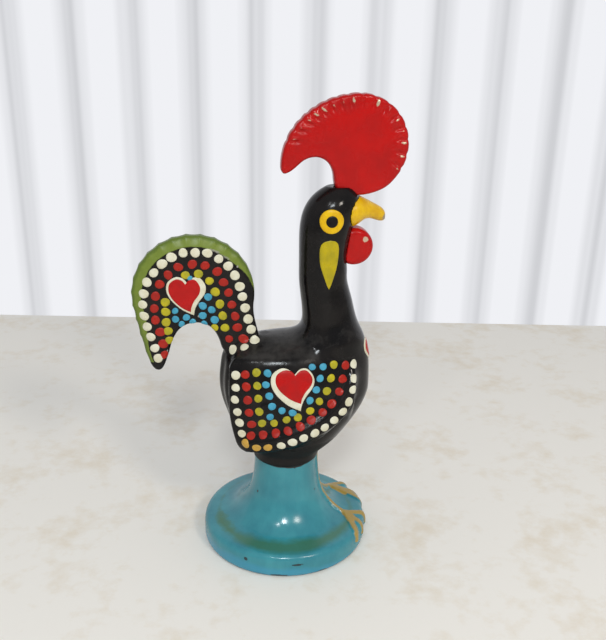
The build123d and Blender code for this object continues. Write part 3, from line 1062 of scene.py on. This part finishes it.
@dataclass
class Pedestal(Skin):
    """The flared turquoise foot with two legs in relief and a black throat."""

    throat_radius: float = 8.6  # radius at the top
    foot_radius: float = 17.8  # where the toes start
    edge_radius: float = 23.1  # radius of the rim
    crest_radius: float = 19.0  # middle of the darker green-brown band round the foot
    # each leg's angle at the throat, angle at the foot and toe angles, in degrees
    legs: tuple[tuple[float, float, tuple[float, ...]], ...] = (
        (-8.5, -16.5, (-11.0, -25.0, -36.0)), (24.0, 33.0, (30.0, 14.0, 6.0)))
    shank_half: float = 0.62  # half the painted width of a shank
    toe_half: float = 0.88  # the same of a toe
    web_half: float = 1.25  # the same of the web between the toes
    skirt_level: float = 25.45  # height where the black coat ends
    # angle, height, half length and half height of each chip on the rim
    chips: tuple[Quad, ...] = (
        (-88, 4.0, 1.7, 0.3), (-124, 4.3, 0.6, 0.5), (-101, 0.7, 2.4, 0.35), (-70, 0.6, 1.6, 0.3),
        (150, 4.0, 1.2, 0.3), (60, 3.9, 0.9, 0.3), (-20, 1.2, 0.8, 0.4))
    coat = Enamel(
        "turquoise_foot_enamel", Tone.TURQUOISE, Tone.TURQUOISE_DEEP, roughness=0.12, dull=0.14,
        brush_scale=110.0, streak=0.6, relief=0.0001, fleck_tone=Tone.PRIMER, fleck_share=0.028,
        fleck_scale=480.0, fleck_size=0.32,
        layers=(
            # painted shade: bluish turquoise low on the rim, strongest at the rear of the near side
            Layer("blue_side", Tone.TURQUOISE_BLUE, waver=2.5, softness=1.6, strength=0.6, scale=150.0),
            # a darker green-brown band round the top of the foot near its rim, strongest on the side
            # towards the camera
            Layer("crest_smear", Tone.SMEAR, waver=3.2, softness=1.9, strength=0.85, scale=150.0),
            Layer("brown_stain", Tone.SMEAR, waver=3.2, softness=1.2, strength=0.7, scale=300.0),
            Layer("leg_paint", Tone.LEG, waver=0.9, softness=0.4, strength=0.92, scale=420.0),
            Layer("rim_chip", Tone.PRIMER, waver=0.4, softness=0.06, strength=0.9, scale=900.0),
            Layer("foot_wear", Tone.PRIMER, waver=1.2, softness=0.3, strength=0.5, scale=380.0),
            Layer("skirt", Tone.BLACK_WORN, waver=0.9, softness=0.15, scale=260.0, dulling=0.2),
        ))

    def shape(self, clay: Clay) -> None:
        """Measures where each paint lies.

        Args:
            clay: the skin.
        """
        x, y, z = clay.points.T
        radius, turn = np.hypot(x, y), np.degrees(np.arctan2(y, x))
        # darker green-brown band near the rim, fading away from the side towards the camera
        smear = 2.3 - np.abs(radius - self.crest_radius) - 0.2 - 2.5 * (1.0 - bell(turn + 95.0, 80.0))
        behind = (turn + 164) % 360
        stain = 1.6 - np.hypot(radius - 18.7, np.radians(behind - 360 * (behind > 180)) * 7)
        chips = []
        for angle, level, long, tall in self.chips:
            aside = np.radians((turn - angle + 180) % 360 - 180) * radius
            chips.append((1.0 - np.hypot(aside / long, (z - level) / tall)) * tall)
        rim = radius > 21.0
        clay.store(
            leg_paint=np.where(z > 3.4, self._legs(clay.points[:, :2], radius, turn), NOWHERE),
            skirt=z - self.skirt_level + 0.25 * np.sin(np.radians(turn * 3)),
            crest_smear=np.where(z > 5.5, smear, NOWHERE),
            brown_stain=np.where(z > 5.0, stain, NOWHERE),
            foot_wear=0.5 - z,
            rim_chip=np.where(rim, np.max(chips, axis=0, initial=NOWHERE), NOWHERE),
            # bluish painted shade on the rim's lower face
            blue_side=np.where(rim, 3.9 - z - np.abs(turn + 140) * 0.03, NOWHERE))

    def _legs(self, plan: Array, radius: Array, turn: Array) -> Array:
        """How far inside the painted legs each point is.

        Args:
            plan: the points seen from above.
            radius: their distances from the middle.
            turn: their angles.

        Returns:
            One distance for each point, positive inside.
        """
        parts = []
        flare = self.foot_radius - self.throat_radius
        share = np.clip((radius - self.throat_radius) / flare, 0.0, 1.0)
        for root, foot, toes in self.legs:
            aside = np.abs(np.radians(turn - (root + (foot - root) * share))) * radius
            parts.append(np.where(radius < self.foot_radius, self.shank_half - aside, NOWHERE))
            palm = self._on_plan(self.foot_radius, foot)
            web = self._on_plan(self.foot_radius + 2.0, sum(toes) / len(toes))
            parts.append(self.web_half - segment_distance(plan, palm, web))
            for toe in toes:
                tip = self._on_plan(self.edge_radius + 0.4, toe)
                parts.append(self.toe_half - segment_distance(plan, palm, tip))
        return np.max(parts, axis=0, initial=NOWHERE)

    @staticmethod
    def _on_plan(radius: float, angle: float) -> Point:
        """Point of the plan at a radius and an angle."""
        return radius * math.cos(math.radians(angle)), radius * math.sin(math.radians(angle))


@dataclass
class Steelwork:
    """Screw, washer, nut, dowels and pins, which keep their own shapes."""

    nodes: tuple[str, ...] = ("pedestal_screw", "screw_washer", "captive_nut", "shell_dowels",
                              "tail_pin", "comb_pin")
    finish: Enamel = Enamel("zinc_plated_steel", Tone.STEEL, Tone.STEEL_DULL, roughness=0.3, dull=0.2,
                            brush_scale=500.0, relief=0.00002, metallic=1.0)

    def dress(self, frame: dict, effects: Effects) -> None:
        """Plates every fastener.

        Args:
            effects: the shared shader groups.
        """
        plated = self.finish.material(effects)
        for name in self.nodes:
            data = frame["nodes"][name].data
            data.materials.clear()
            data.materials.append(plated)
            LOG.info("%s: plated", name)


# ---- ornament ----
@dataclass(frozen=True)
class Row:
    """Dots in one colour along a smooth line, as (x, z) knots seen from the side."""

    paint: str
    count: int
    radius: float
    knots: tuple[Point, ...]

    def places(self) -> Array:
        """Spaces the dots evenly along the line.

        Returns:
            Their places, one row each.
        """
        line = curve_through(self.knots)
        run = np.concatenate([[0.0], np.cumsum(span(np.diff(line, axis=0)))])
        at = np.linspace(0.0, run[-1], self.count)
        return np.stack([np.interp(at, run, column) for column in line.T], axis=1)


@dataclass(frozen=True)
class HeartMark:
    """A red heart on a cream one: centres, as (x, z) or as (y, z) in front, and sizes."""

    cream: Quad
    red: Quad


TAIL_ROWS = (
    Row("cream_dots", 23, 1.24, ((-34, 57), (-35.5, 62), (-37, 68), (-37.3, 72.5), (-36.4, 77.3),
        (-33, 82.2), (-28, 85.4), (-22.5, 85.8), (-18, 84.3), (-13.7, 79.5), (-11.9, 73.5),
        (-10.6, 67.6), (-8.8, 61.4))),
    Row("cream_dots", 2, 1.2, ((-11.7, 60), (-14.6, 59))),
    Row("red_dots", 18, 1.2, ((-32.3, 57.9), (-33, 64), (-34.5, 70), (-33.3, 76.6), (-28.4, 81.7),
        (-23.5, 82.7), (-18.8, 81), (-16, 76), (-14.7, 71.6), (-13, 64.5), (-11.7, 61.8))),
    Row("red_dots", 1, 1.1, ((-15.5, 61.9),)),
    Row("olive_dots", 5, 1.12, ((-30.8, 62), (-31.5, 67), (-31.7, 72.6))),
    Row("olive_dots", 7, 1.15, ((-26.4, 79.9), (-23, 79.9), (-20, 78), (-18.8, 75), (-17.6, 71.4),
        (-17, 68), (-16.5, 65))),
    Row("olive_dots", 1, 1.05, ((-19.2, 64.9),)),
    Row("sky_dots", 1, 0.72, ((-25.2, 79.0),)),
    Row("sky_dots", 1, 1.05, ((-20.5, 73.6),)),
    Row("sky_dots", 2, 1.0, ((-22.2, 71.3), (-22.2, 68.8))),
    Row("sky_dots", 2, 1.05, ((-19.8, 70.2), (-19.2, 67.4))),
    Row("sky_dots", 2, 0.95, ((-26.4, 68.4), (-29.2, 67.8))),
    Row("sky_dots", 1, 0.85, ((-29.2, 70.3),)),
    Row("sky_dots", 3, 0.85, ((-27.6, 66.6), (-24.4, 66.9), (-21.9, 66.4))),
)
WING_ROWS = (
    Row("cream_dots", 6, 1.16, ((-14.3, 54.5), (-14.5, 49), (-14, 44), (-12.9, 38.4))),
    Row("ochre_dots", 3, 1.2, ((-12.2, 35.8), (-9.6, 34.8), (-6.3, 35.2))),
    Row("cream_dots", 11, 1.2, ((-2.9, 36), (3.5, 38.2), (9.2, 41), (13.8, 44.8), (16.5, 49.7),
        (17, 55.8))),
    Row("red_dots", 16, 1.14, ((-11.9, 55), (-11.5, 48), (-10.5, 41), (-10.5, 37.8), (-7.7, 38.6),
        (-1, 39.8), (5.2, 42.7), (10.8, 46.6), (13.6, 52.5), (14.5, 56))),
    Row("olive_dots", 13, 1.1, ((-9, 55.5), (-8.7, 48.7), (-7.8, 41.9), (-5.2, 42.2), (0.5, 43.4),
        (4.8, 45.2), (9.2, 49.9), (11.2, 56.6))),
    Row("sky_dots", 5, 1.0, ((-6.3, 55.5), (-6.7, 52.7), (-6, 50), (-5.5, 47.3), (-5.7, 43.9))),
    Row("sky_dots", 2, 1.0, ((-2.8, 45.6), (0.3, 45.0))),
    Row("sky_dots", 4, 1.0, ((4.8, 48.0), (6.4, 50.8), (7.4, 53.5), (8.2, 56.6))),
    Row("sky_dots", 1, 0.9, ((5.3, 56.8),)),
)
TAIL_HEART = HeartMark((-26.25, 74.1, 9.9, 10.5), (-26.7, 74.3, 8.1, 9.2))
WING_HEART = HeartMark((0.2, 51.1, 11.2, 11.6), (0.55, 51.85, 9.7, 9.3))
CHEST_HEART = HeartMark((-1.0, 57.0, 6.6, 7.2), (-1.0, 57.1, 5.0, 5.7))


@dataclass
class Ornament:
    """All the marks laid over the black coat, grouped by colour."""

    canvas: Canvas  # the black skin
    effects: Effects  # the shared shader groups
    seed: int = 17  # start of the hand's unevenness
    sway: float = 0.09  # how far a dot strays from its place
    dot_height: float = 0.22  # how proud a dot stands
    eye: Point = (10.3, 94.1)  # centre of the eye, as (x, z)
    eye_radius: float = 3.1  # radius of the yellow ring
    pupil_radius: float = 1.55  # radius of the black pupil
    ear: Point = (9.95, 82.8)  # centre of the ear leaf, as (x, z)
    ear_size: Point = (5.0, 13.0)  # width and height of the ear leaf
    away: float = 60.0  # how far off the lines start that find the skin
    paints: dict[str, Paintwork] = field(default_factory=dict)

    def __post_init__(self) -> None:
        """Mixes one pot for each colour."""
        pots = {
            "cream_dots": (Tone.CREAM, Tone.CREAM_AGED), "ochre_dots": (Tone.OCHRE, Tone.OCHRE_AGED),
            "red_dots": (Tone.DOT_RED, Tone.DOT_RED_AGED), "olive_dots": (Tone.OLIVE, Tone.OLIVE_AGED),
            "sky_dots": (Tone.SKY, Tone.SKY_AGED), "heart_outlines": (Tone.CREAM, Tone.CREAM_AGED),
            "hearts": (Tone.RED, Tone.RED_DEEP), "eye_rings": (Tone.YELLOW, Tone.YELLOW_AGED),
            "pupils": (Tone.BLACK, Tone.BLACK), "ear_leaves": (Tone.LEAF, Tone.LEAF_AGED),
        }
        for name, (tone, aged) in pots.items():
            finish = Enamel(name + "_enamel", tone, aged, roughness=0.26, dull=0.2, brush_scale=420.0,
                            streak=0.3, relief=0.00003, specular=0.25)
            self.paints[name] = Paintwork(name, finish)

    def build(self) -> None:
        """Lays every mark on both flanks and the breast, then makes one piece of each colour."""
        for view in (View.RIGHT, View.LEFT):
            dice = random.Random(self.seed + view.value[1])
            self._dots(view, dice)
            self._hearts(view, TAIL_HEART, WING_HEART)
            self._head(view, dice)
        self._hearts(View.FRONT, CHEST_HEART)
        for paint in self.paints.values():
            paint.build(self.effects)

    def _lay(self, view: View, name: str, spot: Point, outline: list[Point], paint: Thickness) -> None:
        """Lays one mark, mirrored on the left.

        Args:
            view: where it is painted from.
            name: the colour's piece.
            spot: the mark's centre, as (x, z), or as (y, z) in front.
            outline: its edge about its centre.
            paint: how it rises.
        """
        x, y = view.value
        origin = Vector((x * self.away + abs(y) * spot[0], y * self.away + x * spot[0], spot[1]))
        turned = [(u * (x - y), v) for u, v in outline]
        self.paints[name].lay(self.canvas, origin, Vector((-x, -y, 0)), turned, paint)

    def _dots(self, view: View, dice: random.Random) -> None:
        """Lays every row of dots on a flank.

        Args:
            view: which flank.
            dice: the hand's unevenness.
        """
        for row in (*TAIL_ROWS, *WING_ROWS):
            for x, z in row.places():
                spot = (float(x) + dice.gauss(0, self.sway), float(z) + dice.gauss(0, self.sway))
                drop = Thickness(self.dot_height * dice.uniform(0.8, 1.15), DROP)
                self._lay(view, row.paint, spot, dot_outline(row.radius, dice), drop)

    def _hearts(self, view: View, *marks: HeartMark) -> None:
        """Lays cream hearts, each with a red one on it.

        Args:
            view: the side they are seen from.
            marks: the hearts.
        """
        for mark in marks:
            for name, place, paint in (("heart_outlines", mark.cream, CREAM_HEART),
                                       ("hearts", mark.red, RED_HEART)):
                self._lay(view, name, place[:2], heart_outline(*place[2:]), paint)

    def _head(self, view: View, dice: random.Random) -> None:
        """Lays an eye and an ear leaf.

        Args:
            view: which flank.
            dice: the hand's unevenness.
        """
        self._lay(view, "eye_rings", self.eye, dot_outline(self.eye_radius, dice, 40, 0.25), THIN_MARK)
        self._lay(view, "pupils", self.eye, dot_outline(self.pupil_radius, dice, 28, 0.3), PUPIL)
        self._lay(view, "ear_leaves", self.ear, leaf_outline(*self.ear_size), THIN_MARK)


# ---- studio ----
@dataclass
class Lamp:
    """A square lamp, placed by its direction from the figure."""

    name: str
    azimuth: float
    elevation: float
    size: float
    watts: float
    colour: Triple
    distance: float = 0.62
    target: Triple = (0.0, 0.0, 0.06)

    def build(self) -> None:
        """Hangs the lamp, facing the figure."""
        data = bpy.data.lights.new(self.name, "AREA")
        data.size = self.size
        data.energy = self.watts
        data.color = self.colour
        lamp = add_object(self.name, data)
        a, e = math.radians(self.azimuth), math.radians(self.elevation)
        way = Vector((math.sin(a) * math.cos(e), -math.cos(a) * math.cos(e), math.sin(e)))
        lamp.location = Vector(self.target) + way * self.distance
        lamp.rotation_euler = (-way).to_track_quat("-Z", "Y").to_euler()


@dataclass
class Studio:
    """Camera, lamps, a pale tabletop and a striped wall behind it."""

    eye: Triple = (-26.92, -211.99, 152.06)  # where the camera stands, in millimetres
    forward: Triple = (0.13545, 0.91724, -0.37461)  # where it looks
    up: Triple = (0.03627, 0.37325, 0.92702)  # its upward direction
    lens: float = 48.75  # its focal length
    wall_distance: float = 1500.0  # from the camera to the wall, in millimetres
    table_depth: float = 376.0  # from the camera to the table's far edge, in millimetres
    table_half: float = 3.0  # half its width, and how far it reaches behind the camera, in metres
    wall_half: Point = (4.0, 2.5)  # half the wall's width and height, in metres
    stripe_pitch: float = 0.0255  # from stripe to stripe as seen at the table's edge, in metres
    stripe_start: float = 0.32  # where the first stripe lies, as a share of the pitch
    vein_strength: float = 0.62  # how strong the table's veins are
    room_light: float = 0.54  # strength of the even light
    room_colour: Quad = (0.96, 0.975, 1.0, 1.0)  # its colour
    # name, direction, size in metres, watts and colour of each lamp
    lamps: tuple[Lamp, ...] = (
        Lamp("cool_key", -8.0, 40.0, 0.095, 1.25, (0.9, 0.96, 1.0)),
        Lamp("left_point", -26.0, 48.0, 0.05, 0.22, (0.96, 0.98, 1.0)),
        Lamp("warm_side", 28.0, 36.0, 0.09, 0.9, (1.0, 0.93, 0.84)),
    )
    heading: Vector = field(init=False)
    side: Vector = field(init=False)
    start: Vector = field(init=False)

    def __post_init__(self) -> None:
        """Finds the camera's level heading, the direction to its right and the point below it."""
        self.heading = Vector((self.forward[0], self.forward[1], 0)).normalized()
        self.side = Vector((self.heading.y, -self.heading.x, 0))
        self.start = Vector((self.eye[0], self.eye[1], 0)) * MM

    def build(self) -> None:
        """Sets the whole room up."""
        self._camera()
        for lamp in self.lamps:
            lamp.build()
        self._world()
        self._floor()
        self._wall()

    def _camera(self) -> None:
        """Stands the camera in front of the bird's right side, looking a little down."""
        data = bpy.data.cameras.new("camera")
        data.lens = self.lens
        data.sensor_width = 36.0
        data.clip_start = 0.01
        camera = add_object("camera", data)
        forward, up = Vector(self.forward).normalized(), Vector(self.up).normalized()
        right = forward.cross(up).normalized()
        turn = Matrix((right, right.cross(forward), -forward)).transposed()
        camera.matrix_world = Matrix.Translation(Vector(self.eye) * MM) @ turn.to_4x4()
        bpy.context.scene.camera = camera

    def _world(self) -> None:
        """Lights the room evenly."""
        world = bpy.data.worlds.new("room")
        world.use_nodes = True
        sky = world.node_tree.nodes["Background"]
        sky.inputs["Color"].default_value = self.room_colour
        sky.inputs["Strength"].default_value = self.room_light
        bpy.context.scene.world = world
        bpy.context.scene.view_settings.view_transform = "Standard"

    def _floor(self) -> Object:
        """A pale tabletop with faint veins.

        Returns:
            The tabletop.
        """
        far = self.start + self.heading * self.table_depth * MM
        near = self.start - self.heading * self.table_half
        floor, graph, shader = self._sheet("tabletop", "pale_tabletop", near, far, self.table_half)
        where = graph.place()
        both = graph.plus(graph.times(graph.noise(where, 38.0, 6.0, 0.65), 0.7),
                          graph.times(graph.noise(where, 210.0, 3.0, 0.6), 0.3))
        veins = graph.times(graph.remap(both, 0.5, 0.66), self.vein_strength)
        colour = graph.blend(veins, Tone.FLOOR.linear(), Tone.FLOOR_VEIN.linear())
        graph.feed(shader.inputs["Base Color"], colour)
        shader.inputs["Roughness"].default_value = 0.55
        return floor

    def _wall(self) -> Object:
        """A wall of pale paper with soft grey stripes, which shows its own colour to the camera.

        Returns:
            The wall.
        """
        width, height = self.wall_half
        middle = self.start + self.heading * self.wall_distance * MM
        up = Vector((0, 0, height))
        wall, graph, shader = self._sheet("papered_wall", "striped_paper", middle - up, middle + up,
                                          width)
        split = graph.add("SeparateXYZ", {0: graph.place()}).outputs
        along = graph.plus(graph.times(split[0], self.side.x), graph.times(split[1], self.side.y))
        enlarged = self.wall_distance / self.table_depth
        pitches = graph.math("DIVIDE", along, self.stripe_pitch * enlarged)
        phase = graph.math("FRACT", graph.plus(pitches, self.stripe_start))
        stripe = graph.remap(graph.math("ABSOLUTE", graph.math("SUBTRACT", phase, 0.5)), 0.30, 0.06)
        line = graph.add("CombineXYZ", {0: along})
        streaks = graph.remap(graph.noise(line.outputs[0], 210.0 / enlarged, 1.0, 0.5), 0.22, 0.78)
        share = graph.times(stripe, graph.plus(graph.times(streaks, 0.3), 0.12))
        colour = graph.blend(share, Tone.WALL.linear(), Tone.STEEL_DULL.linear())
        graph.feed(shader.inputs["Base Color"], colour)
        shader.inputs["Roughness"].default_value = 0.9
        rays = graph.add("LightPath").outputs
        bounced = graph.plus(rays["Is Glossy Ray"], rays["Is Transmission Ray"])
        seen = graph.plus(rays["Is Camera Ray"], bounced, clamp=True)
        glow = graph.add("Emission", {"Color": colour, "Strength": 1.0})
        shown = graph.add("MixShader", {0: seen, 1: shader.outputs[0], 2: glow.outputs[0]})
        graph.feed(graph.tree.nodes["Material Output"].inputs["Surface"], shown.outputs[0])
        return wall

    def _sheet(self, name: str, cover: str, start: Vector, end: Vector,
               half: float) -> tuple[Object, Graph, bpy.types.Node]:
        """A flat sheet across the view.

        Args:
            name: its name.
            cover: its material's name.
            start: middle of its near or lower edge, in metres.
            end: middle of its far or upper edge.
            half: half its width.

        Returns:
            The sheet, its material's graph and its shader.
        """
        aside = self.side * half
        mesh = bpy.data.meshes.new(name)
        mesh.from_pydata([start - aside, start + aside, end + aside, end - aside], [], [(0, 1, 2, 3)])
        made = bpy.data.materials.new(cover)
        made.use_nodes = True
        mesh.materials.append(made)
        return add_object(name, mesh), Graph(made.node_tree), made.node_tree.nodes["Principled BSDF"]


def main() -> None:
    """Builds the figure piece by piece, then the room."""
    logging.basicConfig(level=logging.INFO, format="%(name)s: %(message)s")
    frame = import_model()
    effects = Effects()
    castings = (
        BirdBody("black_bird", ("body_shell_right", "body_shell_left", "wing_right", "wing_left",
                                "tail_plate"), "body_enamel", voxel=0.4),
        Comb("comb", ("comb_plate",), "comb_enamel", voxel=0.3),
        Beak("beak_skin", ("beak",), "beak_enamel", voxel=0.22),
        Wattle("wattle_skin", ("wattle",), "comb_enamel", voxel=0.22),
        Pedestal("foot", ("pedestal",), "pedestal_enamel", voxel=0.36),
    )
    bird, *_ = [part.build(frame, effects) for part in castings]
    Steelwork().dress(frame, effects)
    Ornament(Canvas(bird), effects).build()
    Studio().build()


if __name__ == "__main__":
    main()
